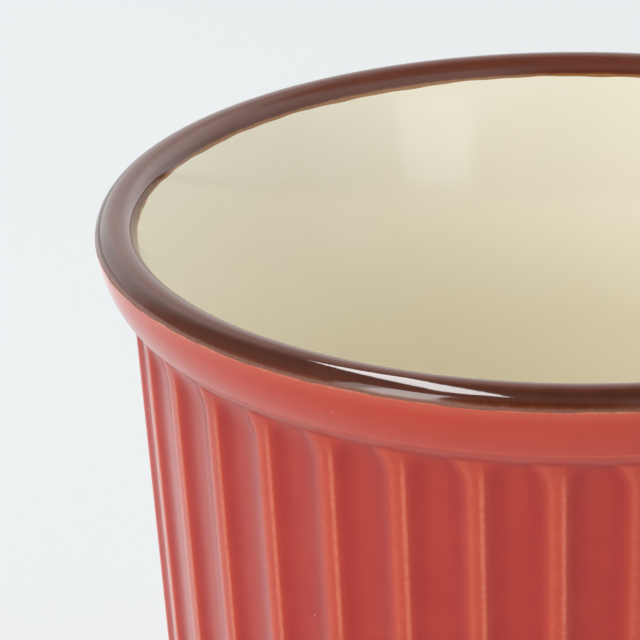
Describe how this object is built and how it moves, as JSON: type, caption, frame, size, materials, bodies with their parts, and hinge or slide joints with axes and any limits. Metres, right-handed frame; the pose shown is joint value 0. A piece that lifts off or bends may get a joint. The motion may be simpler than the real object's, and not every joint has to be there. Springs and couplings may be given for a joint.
{
  "type": "fluted tea cup",
  "caption": "Handleless fluted tea cup of glazed stoneware: red outside with a plain band under a rounded dark brown lip, cream inside, standing on a bare clay foot ring.",
  "frame": {"origin": "middle of the foot, on the surface that the cup stands on", "axes": "+Z along the cup's axis, out of its mouth; a ridge between two flutes lies on -Y, the side that the picture is taken from"},
  "size_m": [0.0844, 0.0844, 0.09],
  "materials": {
    "bare_clay": "matte fired clay",
    "red_glaze": "glossy",
    "brown_glaze": "glossy",
    "cream_glaze": "glossy"
  },
  "bodies": {
    "root": {"clay_body": "bare_clay", "red_outer_glaze": "red_glaze", "brown_rim_glaze": "brown_glaze", "cream_inner_glaze": "cream_glaze"}
  },
  "joints": []
}
